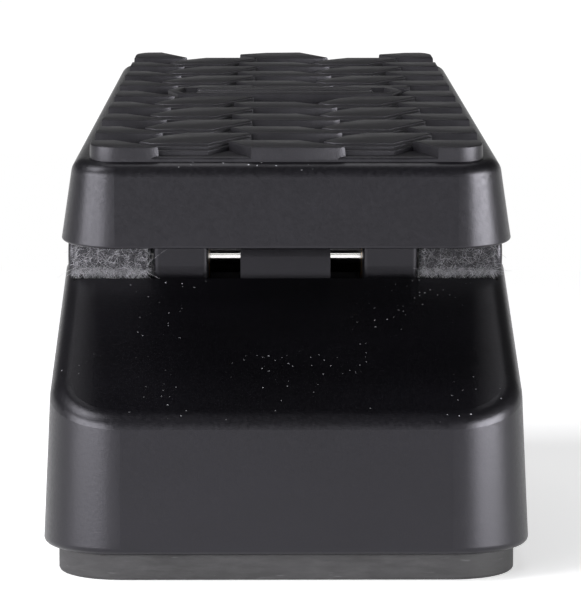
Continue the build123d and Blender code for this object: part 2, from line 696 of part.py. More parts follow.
def pot_shaft():
    """A plain shaft with a screwdriver slot across its end."""
    end, half_slot = SHAFT_X[1], 0.5
    shaft = rod(SHAFT_X[0], end, PINION_Y, PINION_Z, SHAFT_RADIUS)
    return shaft - span(
        end - 2, end + 1, PINION_Y - half_slot, PINION_Y + half_slot, PINION_Z - 4, PINION_Z + 4,
    )


def potentiometer_body():
    can = rod(BRACKET_X - POT_DEPTH, BRACKET_X, PINION_Y, PINION_Z, POT_RADIUS)
    can = fillet(can.edges().sort_by(Axis.X)[0], 0.8)
    bushing = rod(BRACKET_X, BUSHING_END_X, PINION_Y, PINION_Z, POT_BUSHING_RADIUS)
    bore = rod(SHAFT_X[0] - 0.5, BUSHING_END_X + 1, PINION_Y, PINION_Z, SHAFT_RADIUS + RUNNING_CLEARANCE)
    return can + bushing - bore


def potentiometer_lugs():
    """Three tin-plated tabs under the can."""
    x, pitch, length = BRACKET_X - 2.5, 4.0, 3.5
    top = PINION_Z - POT_RADIUS
    lugs = []
    for y in (PINION_Y - pitch, PINION_Y, PINION_Y + pitch):
        lugs.append(span(x - 0.3, x + 0.3, y - 0.9, y + 0.9, top - length, top))
    return together(lugs)


def pot_nut():
    nut = Rot(0, 90, 0) * hex_nut(5.2, POT_NUT, POT_BUSHING_RADIUS)
    return Pos(BRACKET_X + BRACKET_SHEET, PINION_Y, PINION_Z) * nut


def pot_bracket():
    """A folded sheet: an upright that carries the potentiometer and a flange screwed under the roof."""
    x1 = BRACKET_X + BRACKET_SHEET
    upright = span(BRACKET_X, x1, *BRACKET_Y, BRACKET_FOOT_Z, BRACKET_TOP_Z)
    flange = span(BRACKET_FLANGE_X, x1, *BRACKET_Y, BRACKET_TOP_Z - BRACKET_SHEET, BRACKET_TOP_Z)
    sheet = upright + flange
    outer_bend = sheet.edges().filter_by(Axis.Y).sort_by(lambda e: e.center().X + e.center().Z)[-1]
    sheet = fillet(outer_bend, 1.2)
    sheet = sheet - rod(BRACKET_X - 1, x1 + 1, PINION_Y, PINION_Z, POT_BUSHING_RADIUS)
    sheet = sheet - rod(BRACKET_X - 1, x1 + 1, GUIDE_SCREW[0], GUIDE_SCREW[1], 1.0)
    for y in BRACKET_SCREW_YS:
        sheet = sheet - post(BRACKET_SCREW_X, y, 20, BRACKET_TOP_Z + 1, M3 + SLIP)
    return sheet


def rack_guide():
    """A plastic block with a channel that the rack slides in."""
    x0 = BRACKET_X + BRACKET_SHEET
    block = span(x0, GUIDE_END_X, GUIDE_Y[0], GUIDE_Y[1], GUIDE_Z[0], GUIDE_Z[1])
    half = RACK_THICKNESS / 2 + SLIP
    channel = span(LINK_X - half, LINK_X + half, RACK_BACK_Y - SLIP, 10, 20, 40)
    return block - channel - rod(x0 - 1, x0 + 3, GUIDE_SCREW[0], GUIDE_SCREW[1], 0.95)


def guide_screw():
    y, z = GUIDE_SCREW
    shank = rod(BRACKET_X, BRACKET_X + BRACKET_SHEET + 2.6, y, z, 0.9)
    head = rod(BRACKET_X - 1.2, BRACKET_X, y, z, 1.7)
    return head + shank - span(BRACKET_X - 2, BRACKET_X - 0.7, y - 2, y + 2, z - 0.25, z + 0.25)


def pan_screw(x, y, seat, length):
    """A pan-head screw that points up, its head under seat."""
    head = post(x, y, seat - 1.8, seat, 2.8)
    head = fillet(head.edges().sort_by(Axis.Z)[0], 0.8)
    cross = span(-1.4, 1.4, -0.35, 0.35, -1, 0.9) + span(-0.35, 0.35, -1.4, 1.4, -1, 0.9)
    return head + post(x, y, seat, seat + length, M3) - Pos(x, y, seat - 1.8) * cross


# ---- Circuit board ----------------------------------------------------------------------------------

def circuit_board():
    half = BOARD_WIDTH / 2
    board = span(-half, half, BOARD_HEEL, BOARD_TOE, BOARD_Z, BOARD_TOP)
    board = fillet(board.edges().filter_by(Axis.Z), 1.5)
    for x, y in BOARD_SCREW_PLACES:
        board = board - post(x, y, BOARD_Z - 1, BOARD_TOP + 1, M3 + SLIP)
    return board


def inductor_core():
    """A flanged ferrite bobbin with a hole for its clamp screw."""
    x, y = INDUCTOR
    low, high = BOARD_TOP, BOARD_TOP + INDUCTOR_HEIGHT
    core = post(x, y, low, high, INDUCTOR_HUB)
    core = core + post(x, y, low, low + INDUCTOR_FLANGE, INDUCTOR_RADIUS)
    core = core + post(x, y, high - INDUCTOR_FLANGE, high, INDUCTOR_RADIUS)
    return core - post(x, y, high - 4, high + 1, 1.2)


def inductor_winding():
    """The copper between the bobbin's flanges."""
    x, y = INDUCTOR
    low, high = BOARD_TOP + INDUCTOR_FLANGE, BOARD_TOP + INDUCTOR_HEIGHT - INDUCTOR_FLANGE
    return post(x, y, low, high, INDUCTOR_RADIUS - 0.8) - post(x, y, low - 1, high + 1, INDUCTOR_HUB)


def electrolytic_capacitors():
    cans = []
    for x, y, radius, height in [(-17, -44, 3.15, 8.5), (-17, -35, 3.15, 8.5), (17, -44.5, 2.5, 7.0)]:
        can = post(x, y, BOARD_TOP, BOARD_TOP + height, radius)
        can = fillet(can.edges().sort_by(Axis.Z)[-1], 0.5)
        cans.append(can)
    return together(cans)


def film_capacitors():
    boxes = []
    for x, y in [(16, -34), (16, -29.5), (-4.5, -51), (5.5, -51)]:
        case = span(x - 3.6, x + 3.6, y - 1.4, y + 1.4, BOARD_TOP, BOARD_TOP + 6.5)
        boxes.append(fillet(case.edges().filter_by(Axis.Z), 0.6))
    return together(boxes)


def resistor(x, y):
    """A barrel with swollen ends between two bent leads."""
    z, half, reach = BOARD_TOP + 1.3, 3.1, 4.6
    part = rod(x - half, x + half, y, z, 0.85) + rod(x - reach, x + reach, y, z, 0.28)
    for way in (-1, 1):
        part = part + rod(x + way * (half - 1.2), x + way * half, y, z, 1.15)
        part = part + post(x + way * reach, y, BOARD_TOP, z + 0.4, 0.36)
    return part


def transistor(x, y):
    case = post(x, y, BOARD_TOP + 2, BOARD_TOP + 6.6, 2.4) & span(x - 3, x + 3, y - 3, y + 1.3, 0, 40)
    for way in (-1, 0, 1):
        case = case + post(x + way * 1.27, y, BOARD_TOP, BOARD_TOP + 2.5, 0.25)
    return case


def voicing_switch_body():
    """A three-position slide switch with a slot in its cap."""
    x, y = VOICING
    body = span(x - 6.5, x + 6.5, y - 2.8, y + 2.8, BOARD_TOP, BOARD_TOP + 4.4)
    hollow = span(x - 5.7, x + 5.7, y - 2.0, y + 2.0, BOARD_TOP + 1.0, BOARD_TOP + 3.6)
    return body - hollow - span(x - 4.6, x + 4.6, y - 1.1, y + 1.1, BOARD_TOP + 3, BOARD_TOP + 5)


def voicing_switch_slider():
    x, y = VOICING
    foot = span(x - 2.6, x + 2.6, y - 1.9, y + 1.9, BOARD_TOP + 1.1, BOARD_TOP + 3.5)
    return foot + span(x - 1.7, x + 1.7, y - 1.0, y + 1.0, BOARD_TOP + 3.5, BOARD_TOP + 6.2)


def board_headers():
    """Wire connectors along the board's toe edge."""
    blocks = []
    for x in (-11, 0, 11):
        case = span(x - 4, x + 4, -17.5, -13.0, BOARD_TOP, BOARD_TOP + 6)
        blocks.append(case - span(x - 3.3, x + 3.3, -16.8, -13.7, BOARD_TOP + 1, BOARD_TOP + 7))
    return together(blocks)


# ---- Footswitch -------------------------------------------------------------------------------------

def footswitch_body():
    half = SWITCH_BODY / 2
    case = span(-half, half, SWITCH_Y - half, SWITCH_Y + half, SWITCH_FOOT_Z, SWITCH_CASE_Z)
    case = fillet(case.edges().filter_by(Axis.Z), 1.0)
    return case - post(0, SWITCH_Y, SWITCH_CASE_Z - 7, SWITCH_CASE_Z + 1, SWITCH_PLUNGER_RADIUS + 0.3)


def footswitch_bushing():
    tube_out = post(0, SWITCH_Y, SWITCH_CASE_Z, SWITCH_BUSHING_TOP, SWITCH_BUSHING_RADIUS)
    tube_out = chamfer(tube_out.edges().sort_by(Axis.Z)[-1], 0.6)
    return tube_out - post(0, SWITCH_Y, 0, 60, SWITCH_PLUNGER_RADIUS + RUNNING_CLEARANCE)


def footswitch_nut(z):
    return Pos(0, SWITCH_Y, z) * hex_nut(SWITCH_NUT_FLATS, SWITCH_NUT, SWITCH_BUSHING_RADIUS)


def footswitch_washer():
    z = SWITCH_SEAT_Z
    disc = post(0, SWITCH_Y, z, z + SWITCH_WASHER, SWITCH_SEAT_RADIUS - 0.9)
    return disc - post(0, SWITCH_Y, z - 1, z + 2, SWITCH_BUSHING_RADIUS)


def footswitch_plunger():
    """A stem with a domed cap."""
    shoulder = SWITCH_TOP_Z - SWITCH_PLUNGER_SHOULDER
    stem = post(0, SWITCH_Y, SWITCH_CASE_Z - 3, shoulder, SWITCH_PLUNGER_RADIUS)
    cap = post(0, SWITCH_Y, shoulder, SWITCH_TOP_Z, SWITCH_PLUNGER_RADIUS)
    dome = Pos(0, SWITCH_Y, SWITCH_TOP_Z - SWITCH_PLUNGER_DOME) * Sphere(SWITCH_PLUNGER_DOME)
    return stem + (cap & dome)


def footswitch_lugs():
    lugs = [
        span(x - 1.2, x + 1.2, y - 0.35, y + 0.35, SWITCH_FOOT_Z - 3.6, SWITCH_FOOT_Z)
        for x in (-5, 0, 5)
        for y in (SWITCH_Y - 4, SWITCH_Y + 4)
    ]
    return together(lugs)


# ---- Jacks ------------------------------------------------------------------------------------------

def jack_body(side):
    """A closed jack with a blind bore for a 6.35 mm plug."""
    half = JACK_BODY / 2
    inner, outer = side * JACK_BODY_INNER, side * JACK_BODY_OUTER
    case = span(inner, outer, JACK_Y - half, JACK_Y + half, JACK_Z - half, JACK_Z + half)
    case = fillet(case.edges().filter_by(Axis.X), 1.2)
    bushing = rod(outer, side * JACK_MOUTH, JACK_Y, JACK_Z, JACK_BUSHING_RADIUS)
    return case + bushing - rod(side * JACK_BORE_END, side * 45, JACK_Y, JACK_Z, JACK_BORE_RADIUS)


def jack_lugs(side):
    """Solder tabs under the case."""
    top, length = JACK_Z - JACK_BODY / 2, 2.6
    lugs = []
    for x in (12, 24):
        for y in (JACK_Y - 3.5, JACK_Y + 3.5):
            lugs.append(span(side * (x - 0.3), side * (x + 0.3), y - 1.2, y + 1.2, top - length, top))
    return together(lugs)


def jack_washer(side):
    x0, x1 = JACK_SEAT, JACK_SEAT + JACK_WASHER
    ring = tube(x0, x1, JACK_Y, JACK_Z, JACK_SEAT_RADIUS - 0.7, JACK_BUSHING_RADIUS)
    return ring if side > 0 else mirror(ring, Plane.YZ)


def jack_nut(side):
    nut = Rot(0, 90, 0) * hex_nut(JACK_NUT_FLATS, JACK_NUT, JACK_BUSHING_RADIUS)
    nut = Pos(JACK_SEAT + JACK_WASHER, JACK_Y, JACK_Z) * nut
    return nut if side > 0 else mirror(nut, Plane.YZ)


def power_jack_body():
    case = span(20.5, POWER_CASE_X, POWER_Y - 5, POWER_Y + 5, POWER_Z - 5, POWER_Z + 5)
    case = fillet(case.edges().filter_by(Axis.X), 0.8)
    case = case + rod(POWER_CASE_X, POWER_MOUTH, POWER_Y, POWER_Z, POWER_BUSHING_RADIUS)
    case = case - rod(POWER_BORE_END, 45, POWER_Y, POWER_Z, POWER_BORE_RADIUS)
    return case - rod(POWER_BORE_END - 2, 45, POWER_Y, POWER_Z, POWER_PIN_RADIUS)


def power_jack_pin():
    pin = rod(POWER_BORE_END - 2, POWER_MOUTH - 3.5, POWER_Y, POWER_Z, POWER_PIN_RADIUS)
    return fillet(pin.edges().sort_by(Axis.X)[-1], 0.4)


def power_jack_nut():
    nut = Rot(0, 90, 0) * hex_nut(POWER_NUT_FLATS, 1.6, POWER_BUSHING_RADIUS)
    return Pos(POWER_SEAT, POWER_Y, POWER_Z) * nut


# ---- Write every piece --------------------------------------------------------------------------------

def main():
    os.makedirs("parts", exist_ok=True)
    pieces = {
        "base_housing": base_housing(),
        "bottom_plate": bottom_plate(),
        "bottom_plate_screws": together([plate_screw(x, y) for x, y in SCREW_PLACES]),
        "rubber_base_pad": rubber_base_pad(),
        "felt_pad_left": felt_pad(-1),
        "felt_pad_right": felt_pad(1),
        "heel_stop_bumpers": heel_stop_bumpers(),
        "toe_bumpers": toe_bumpers(),
        "hinge_pin": hinge_pin(),
        "pin_set_screw": pin_set_screw(),
        "hinge_bushing_left": hinge_bushing(-1),
        "hinge_bushing_right": hinge_bushing(1),
        "treadle_casting": treadle_casting(),
        "tread_mat": tread_mat(),
        "tread_badge": tread_badge(),
        "rack_link_pin": link_pin(),
        "gear_rack": gear_rack(),
        "rack_guide": rack_guide(),
        "guide_screw": guide_screw(),
        "pinion_gear": pinion_gear(),
        "pot_shaft": pot_shaft(),
        "potentiometer_body": potentiometer_body(),
        "potentiometer_lugs": potentiometer_lugs(),
        "pot_nut": pot_nut(),
        "pot_bracket": pot_bracket(),
        "bracket_screws": together(
            [pan_screw(BRACKET_SCREW_X, y, BRACKET_TOP_Z - BRACKET_SHEET, 3.0) for y in BRACKET_SCREW_YS]
        ),
        "circuit_board": circuit_board(),
        "board_screws": together([pan_screw(x, y, BOARD_Z, 8.0) for x, y in BOARD_SCREW_PLACES]),
        "inductor_core": inductor_core(),
        "inductor_winding": inductor_winding(),
        "electrolytic_capacitors": electrolytic_capacitors(),
        "film_capacitors": film_capacitors(),
        "resistors": together([resistor(x, y) for x in (-6, 6) for y in (-22.5, -26, -29.5, -33)]),
        "transistors": together([transistor(x, -40.5) for x in (-10.6, 10.6)]),
        "voicing_switch_body": voicing_switch_body(),
        "voicing_switch_slider": voicing_switch_slider(),
        "board_headers": board_headers(),
        "footswitch_body": footswitch_body(),
        "footswitch_bushing": footswitch_bushing(),
        "footswitch_lower_nut": footswitch_nut(SWITCH_PANEL_Z - SWITCH_NUT),
        "footswitch_washer": footswitch_washer(),
        "footswitch_upper_nut": footswitch_nut(SWITCH_SEAT_Z + SWITCH_WASHER),
        "footswitch_plunger": footswitch_plunger(),
        "footswitch_lugs": footswitch_lugs(),
        "input_jack_body": jack_body(1),
        "input_jack_lugs": jack_lugs(1),
        "input_jack_washer": jack_washer(1),
        "input_jack_nut": jack_nut(1),
        "output_jack_body": jack_body(-1),
        "output_jack_lugs": jack_lugs(-1),
        "output_jack_washer": jack_washer(-1),
        "output_jack_nut": jack_nut(-1),
        "power_jack_body": power_jack_body(),
        "power_jack_pin": power_jack_pin(),
        "power_jack_nut": power_jack_nut(),
    }
    for name, piece in pieces.items():
        save(name, piece)


main()
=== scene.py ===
"""Looks of a compact rocker pedal for guitar effects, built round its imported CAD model.

Row frame in metres: +X to the right, +Y from heel to toe, +Z up. Sizes are named in millimetres and
turned into metres with MM. The tread mat, badge and felt pads are meshes made here; all the other
pieces are the CAD nodes with a procedural finish.
"""

import json
import math
import random

import bpy
from mathutils import Matrix, Vector, noise


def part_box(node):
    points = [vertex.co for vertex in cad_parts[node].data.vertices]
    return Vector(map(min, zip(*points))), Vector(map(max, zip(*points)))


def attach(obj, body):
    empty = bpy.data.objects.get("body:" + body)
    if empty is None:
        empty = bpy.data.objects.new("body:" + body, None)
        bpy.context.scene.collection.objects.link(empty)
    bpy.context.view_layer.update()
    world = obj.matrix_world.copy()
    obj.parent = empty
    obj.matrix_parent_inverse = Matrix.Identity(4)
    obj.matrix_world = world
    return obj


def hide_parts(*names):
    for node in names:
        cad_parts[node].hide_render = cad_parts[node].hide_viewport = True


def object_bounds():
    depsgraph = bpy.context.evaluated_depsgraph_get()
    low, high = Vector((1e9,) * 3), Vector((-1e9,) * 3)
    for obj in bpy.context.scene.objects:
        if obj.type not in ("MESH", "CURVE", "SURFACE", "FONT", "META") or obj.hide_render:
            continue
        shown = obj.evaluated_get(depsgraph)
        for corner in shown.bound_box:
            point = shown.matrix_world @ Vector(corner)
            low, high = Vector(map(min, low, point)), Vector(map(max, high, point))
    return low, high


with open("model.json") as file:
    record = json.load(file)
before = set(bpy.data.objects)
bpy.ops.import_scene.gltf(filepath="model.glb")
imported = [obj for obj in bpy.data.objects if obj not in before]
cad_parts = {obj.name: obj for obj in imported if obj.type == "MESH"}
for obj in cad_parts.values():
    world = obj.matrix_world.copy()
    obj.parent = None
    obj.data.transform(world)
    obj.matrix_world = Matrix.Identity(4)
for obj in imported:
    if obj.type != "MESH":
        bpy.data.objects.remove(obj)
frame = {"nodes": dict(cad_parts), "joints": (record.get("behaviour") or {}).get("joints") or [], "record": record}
nodes = frame["nodes"]
cad_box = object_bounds()

MM = 0.001

# ---- Driving sizes, in millimetres and degrees ------------------------------------------------------

REST_TILT = 8.4
MAT_RADIUS = 4.0
MAT_SHEET = 0.7
ROW_PITCH = 13.2
COLUMN_PITCH = 13.2
ROWS = 9
BLOCK_EDGE = 0.20
BLOCK_DRAFT = 0.10
STEPS = [(0.28, 1.2), (0.72, 2.3)]  # how far a step lies under a block's top and how far it reaches
BLOCK_ROOT = 0.02  # how far a block's foot stands over the mat's underside
FENCE_GROW = 0.02  # how far a block may pass the mat's outline
SHEET_EDGE = 0.45
SMALLEST_BLOCK = 12.0
BADGE_LENGTH = 39.0
BADGE_WIDTH = 9.0
BADGE_ROW = 4.45
BADGE_GAP = 0.6
BADGE_EDGE = 0.2
BADGE_RIM = 1.3  # width of the flat rim round the sunk panel
BADGE_SUNK = 0.9

FELT_INNER = 6.55
FELT_OUTER = 9.35
SHOE_CLEAR = 2.2

CAMERA_X = -1.6
CAMERA_FROM_HEEL = 308.1
CAMERA_HEIGHT = 65.77
CAMERA_PITCH = 4.75
CAMERA_YAW = 0.396
LENS = 131.03

FLOOR_LIT = 0.22  # metres from the middle to where the floor starts to fade to white
FLOOR_WHITE = 0.60
FLOOR_GLOW = 0.60
FLAG_NEAR = -0.55  # metres; the black card starts here and runs away behind the camera
FLAG_LIFT = 0.001
STAGE_SIZE = 4.0
FRONT_BAND = 0.10
SIDE_BAND = 0.10
HORIZON_GLOW = 1.2
BACK_BAND = 1.0
ROOM_LIGHT = 0.06

hinge = Vector(next(joint for joint in frame["joints"] if joint["name"] == "treadle_hinge")["pos_m"])
treadle_place = Matrix.Translation(hinge) @ Matrix.Rotation(math.radians(REST_TILT), 4, "X")


def treadle_box(name):
    """A CAD node's lowest and highest corners in the treadle's own tilted frame, in millimetres."""
    to_treadle = treadle_place.inverted()
    places = [to_treadle @ vertex.co / MM for vertex in nodes[name].data.vertices]
    low = Vector(min(place[axis] for place in places) for axis in range(3))
    high = Vector(max(place[axis] for place in places) for axis in range(3))
    return low, high


# ---- Node materials ---------------------------------------------------------------------------------

COOL_GLOSS = (0.92, 0.90, 1.0, 1.0)


class Finish:
    """One node material. Patterns follow the row frame, so sizes are the model's, in millimetres."""

    def __init__(self, name):
        self.material = bpy.data.materials.new(name)
        self.material.use_nodes = True
        self.tree = self.material.node_tree
        self.shader = self.tree.nodes["Principled BSDF"]
        self.place = self.add("ShaderNodeTexCoord").outputs["Object"]

    def add(self, kind, **settings):
        node = self.tree.nodes.new(kind)
        for name, value in settings.items():
            setattr(node, name, value)
        return node

    def feed(self, socket, value):
        """Link an output to a socket, or set the socket's value."""
        if isinstance(value, bpy.types.NodeSocket):
            self.tree.links.new(value, socket)
        else:
            socket.default_value = value

    def maths(self, operation, first, second=0.0):
        node = self.add("ShaderNodeMath", operation=operation)
        self.feed(node.inputs[0], first)
        self.feed(node.inputs[1], second)
        return node.outputs[0]

    def stretched(self, stretch):
        """The object's place with each axis divided by stretch, for a drawn-out pattern."""
        node = self.add("ShaderNodeMapping")
        self.feed(node.inputs["Vector"], self.place)
        node.inputs["Scale"].default_value = [1 / amount for amount in stretch]
        return node.outputs[0]

    def grain(self, size, detail=2.0, rough=0.55, place=None, distortion=0.0):
        """Cloudy noise with features of about size millimetres, from 0 to 1."""
        node = self.add("ShaderNodeTexNoise")
        self.feed(node.inputs["Vector"], place or self.place)
        node.inputs["Scale"].default_value = 1 / (size * MM)
        node.inputs["Detail"].default_value = detail
        node.inputs["Roughness"].default_value = rough
        node.inputs["Distortion"].default_value = distortion
        return node.outputs[0]

    def bands(self, size, axis, distortion=0.0):
        """Even bands across an axis, each of size millimetres."""
        node = self.add("ShaderNodeTexWave", wave_type="BANDS", bands_direction=axis)
        self.feed(node.inputs["Vector"], self.place)
        node.inputs["Scale"].default_value = math.pi / (10 * size * MM)
        node.inputs["Distortion"].default_value = distortion
        return node.outputs["Fac"]

    def specks(self, spacing, radius, share, seed_shift=0.0):
        """Small round dots in a share of cells spacing millimetres apart: 1 in a dot, 0 outside."""
        shift = self.add("ShaderNodeVectorMath", operation="ADD")
        self.feed(shift.inputs[0], self.place)
        shift.inputs[1].default_value = (seed_shift, seed_shift * 0.7, 0.0)
        node = self.add("ShaderNodeTexVoronoi")
        self.feed(node.inputs["Vector"], shift.outputs[0])
        node.inputs["Scale"].default_value = 1 / (spacing * MM)
        chosen = self.add("ShaderNodeSeparateColor")
        self.feed(chosen.inputs[0], node.outputs["Color"])
        near = self.maths("LESS_THAN", node.outputs["Distance"], radius / spacing)
        return self.maths("MULTIPLY", near, self.maths("LESS_THAN", chosen.outputs[0], share))

    def ramp(self, value, stops):
        """A colour ramp through (place, grey or colour) stops."""
        node = self.add("ShaderNodeValToRGB")
        self.feed(node.inputs[0], value)
        elements = node.color_ramp.elements
        while len(elements) < len(stops):
            elements.new(1.0)
        for element, (place, colour) in zip(elements, stops):
            element.position = place
            shade = (colour,) * 3 if isinstance(colour, (int, float)) else colour
            element.color = (*shade, 1.0)
        return node.outputs[0]

    def span(self, value, low, high, start=0.0, end=1.0):
        """Map value from low..high to start..end, clamped."""
        node = self.add("ShaderNodeMapRange")
        for socket, amount in zip(node.inputs[:5], (value, low, high, start, end)):
            self.feed(socket, amount)
        return node.outputs[0]

    def mix(self, share, first, second):
        """A colour between two colours."""
        node = self.add("ShaderNodeMix", data_type="RGBA")
        self.feed(node.inputs[0], share)
        for socket, colour in ((node.inputs[6], first), (node.inputs[7], second)):
            self.feed(socket, (*colour, 1.0) if isinstance(colour, tuple) else colour)
        return node.outputs[2]

    def upward(self, low=0.5, high=0.9):
        """1 on faces that look up, 0 on walls and undersides."""
        axes = self.add("ShaderNodeSeparateXYZ")
        self.feed(axes.inputs[0], self.add("ShaderNodeNewGeometry").outputs["Normal"])
        return self.span(axes.outputs["Z"], low, high)

    def surface(self, colour, roughness, metallic=0.0, **others):
        """Set the shader's main inputs."""
        self.feed(self.shader.inputs["Base Color"], (*colour, 1.0) if isinstance(colour, tuple) else colour)
        self.feed(self.shader.inputs["Roughness"], roughness)
        self.shader.inputs["Metallic"].default_value = metallic
        for name, value in others.items():
            self.feed(self.shader.inputs[name.replace("_", " ").title()], value)
        return self.material

    def relief(self, height, depth, strength=1.0):
        """Bump the surface: height 0 to 1 stands for depth millimetres. Reliefs stack."""
        bump = self.add("ShaderNodeBump")
        bump.inputs["Strength"].default_value = strength
        bump.inputs["Distance"].default_value = depth * MM
        self.feed(bump.inputs["Height"], height)
        normal = self.shader.inputs["Normal"]
        if normal.is_linked:
            self.feed(bump.inputs["Normal"], normal.links[0].from_socket)
        self.feed(normal, bump.outputs[0])


def powder_coat():
    """Satin black powder coat: fine orange peel, faint mottling, a little lint and dust on top."""
    finish = Finish("black_powder_coat")
    peel = finish.grain(0.55, detail=3.0)
    fine = finish.grain(0.16, detail=2.0)
    cloud = finish.grain(9.0, detail=3.0, place=finish.stretched((3.0, 1.0, 1.0)))
    shade = finish.span(cloud, 0.35, 0.7)
    colour = finish.mix(shade, (0.0018, 0.0016, 0.0024), (0.0034, 0.0031, 0.0046))
    colour = finish.mix(finish.span(fine, 0.50, 0.80, 0.0, 0.30), colour, (0.016, 0.015, 0.020))
    patches = finish.span(finish.grain(16.0, detail=2.0), 0.50, 0.66)
    dust = finish.maths("MULTIPLY", finish.specks(0.9, 0.12, 0.45), patches)
    lint = finish.specks(3.8, 0.15, 0.16, seed_shift=0.37)
    dust = finish.maths("MAXIMUM", dust, lint)
    dust = finish.maths("MULTIPLY", dust, finish.upward(0.3, 0.8))
    colour = finish.mix(dust, colour, (0.60, 0.60, 0.64))
    rough = finish.span(peel, 0.3, 0.7, 0.31, 0.40)
    finish.surface(colour, finish.maths("MAXIMUM", rough, dust))
    finish.shader.inputs["Specular Tint"].default_value = COOL_GLOSS
    finish.relief(peel, 0.014)
    finish.relief(fine, 0.005)
    return finish.material


def pad_rubber():
    """Scuffed matt rubber: streaks along the edge, pale scratches and a chalky bloom."""
    finish = Finish("base_rubber")
    streaks = finish.grain(1.1, detail=4.0, rough=0.65, place=finish.stretched((5.0, 5.0, 1.0)))
    blotches = finish.grain(6.0, detail=3.0)
    colour = finish.mix(finish.span(streaks, 0.35, 0.7), (0.024, 0.023, 0.025), (0.066, 0.064, 0.068))
    colour = finish.mix(finish.span(blotches, 0.45, 0.75, 0.0, 0.6), colour, (0.030, 0.029, 0.032))
    scratch = finish.grain(0.5, detail=2.0, place=finish.stretched((9.0, 9.0, 1.0)))
    colour = finish.mix(finish.span(scratch, 0.66, 0.76, 0.0, 0.35), colour, (0.22, 0.22, 0.23))
    finish.surface(colour, finish.span(streaks, 0.3, 0.7, 0.62, 0.85))
    finish.relief(streaks, 0.05)
    finish.relief(finish.grain(0.25), 0.02)
    return finish.material


def tread_rubber():
    """Moulded matt rubber with a fine spark-eroded grain, dull wear and a few bright crumbs."""
    finish = Finish("tread_rubber")
    grain = finish.grain(0.22, detail=3.0, rough=0.6)
    wear = finish.grain(5.0, detail=4.0, rough=0.6)
    shade = finish.span(wear, 0.35, 0.7)
    colour = finish.mix(shade, (0.0050, 0.0047, 0.0058), (0.0095, 0.0090, 0.0108))
    colour = finish.mix(finish.span(grain, 0.45, 0.8, 0.0, 0.45), colour, (0.030, 0.029, 0.033))
    crumbs = finish.maths("MULTIPLY", finish.specks(1.3, 0.07, 0.07), finish.upward(0.2, 0.7))
    colour = finish.mix(crumbs, colour, (0.46, 0.46, 0.48))
    finish.surface(colour, finish.span(wear, 0.3, 0.7, 0.36, 0.46))
    finish.shader.inputs["Specular Tint"].default_value = COOL_GLOSS
    finish.relief(grain, 0.020)
    finish.relief(wear, 0.05, 0.5)
    return finish.material


def bumper_rubber():
    finish = Finish("bumper_rubber")
    grain = finish.grain(0.5, detail=3.0)
    finish.surface(finish.mix(grain, (0.018, 0.018, 0.019), (0.045, 0.045, 0.047)), 0.7)
    finish.relief(grain, 0.03)
    return finish.material


def felt():
    """Pressed wool: mottled greys under a matted, hairy surface."""
    finish = Finish("grey_felt")
    mat = finish.grain(0.24, detail=4.0, rough=0.75, distortion=1.6)
    mottle = finish.grain(0.9, detail=3.0, rough=0.6)
    colour = finish.mix(finish.span(mat, 0.44, 0.62), (0.008, 0.0075, 0.010), (0.120, 0.115, 0.138))
    colour = finish.mix(finish.span(mottle, 0.46, 0.66, 0.0, 0.85), colour, (0.016, 0.0155, 0.020))
    finish.surface(colour, 0.95, sheen_weight=0.15)
    finish.relief(mat, 0.22)
    return finish.material


def felt_fibre():
    """Single wool fibres, each with its own shade from the mesh."""
    finish = Finish("felt_fibre")
    shade = finish.add("ShaderNodeAttribute", attribute_name="shade").outputs["Fac"]
    along = finish.grain(0.4, detail=1.0)
    colour = finish.mix(shade, (0.030, 0.029, 0.038), (0.74, 0.73, 0.79))
    colour = finish.mix(finish.span(along, 0.45, 0.75, 0.0, 0.3), colour, (0.80, 0.79, 0.83))
    return finish.surface(colour, 0.7, sheen_weight=0.2)


def metal(name, bright, dull, roughness, draw, scratch=0.5, spots=0.0):
    """A metal with drawn scratches along an axis, patchy gloss and optional dull spots."""
    finish = Finish(name)
    lines = finish.grain(0.12, detail=3.0, rough=0.7, place=finish.stretched(draw))
    clouds = finish.grain(3.0, detail=3.0)
    colour = finish.mix(finish.span(clouds, 0.3, 0.75), bright, dull)
    if spots:
        colour = finish.mix(finish.span(finish.grain(0.9, detail=2.0), 0.60, 0.68, 0.0, spots), colour, dull)
    gloss = finish.maths("MULTIPLY", finish.span(lines, 0.3, 0.7, -0.5, 0.5), scratch * roughness)
    gloss = finish.maths("ADD", gloss, finish.span(clouds, 0.3, 0.7, roughness * 0.85, roughness * 1.25))
    finish.surface(colour, gloss, metallic=1.0)
    finish.relief(lines, 0.004)
    return finish.material


def plastic(name, colour, pale, roughness, size=0.4, depth=0.01):
    """Moulded plastic with a light grain and faint flow marks."""
    finish = Finish(name)
    grain = finish.grain(size, detail=3.0)
    flow = finish.grain(4.0, detail=2.0, place=finish.stretched((1.0, 3.0, 1.0)), distortion=0.8)
    shade = finish.mix(finish.span(flow, 0.3, 0.75), colour, pale)
    finish.surface(shade, finish.span(grain, 0.3, 0.7, roughness * 0.9, roughness * 1.15))
    finish.relief(grain, depth)
    return finish.material


def board_green():
    """Solder mask over copper tracks, which show as paler lines, with tinned pads."""
    finish = Finish("board_green")
    tracks = finish.maths("GREATER_THAN", finish.bands(2.4, "X", distortion=1.6), 0.62)
    colour = finish.mix(tracks, (0.012, 0.085, 0.035), (0.035, 0.17, 0.065))
    pads = finish.specks(2.54, 0.7, 0.35)
    colour = finish.mix(pads, colour, (0.55, 0.55, 0.52))
    finish.surface(colour, finish.span(finish.grain(0.6), 0.3, 0.7, 0.25, 0.40))
    finish.relief(tracks, 0.03)
    return finish.material


def copper_winding():
    finish = Finish("copper_winding")
    turns = finish.bands(0.25, "Z", distortion=0.4)
    colour = finish.mix(turns, (0.22, 0.07, 0.03), (0.62, 0.27, 0.11))
    finish.surface(colour, 0.32, metallic=0.9)
    finish.relief(turns, 0.10)
    return finish.material


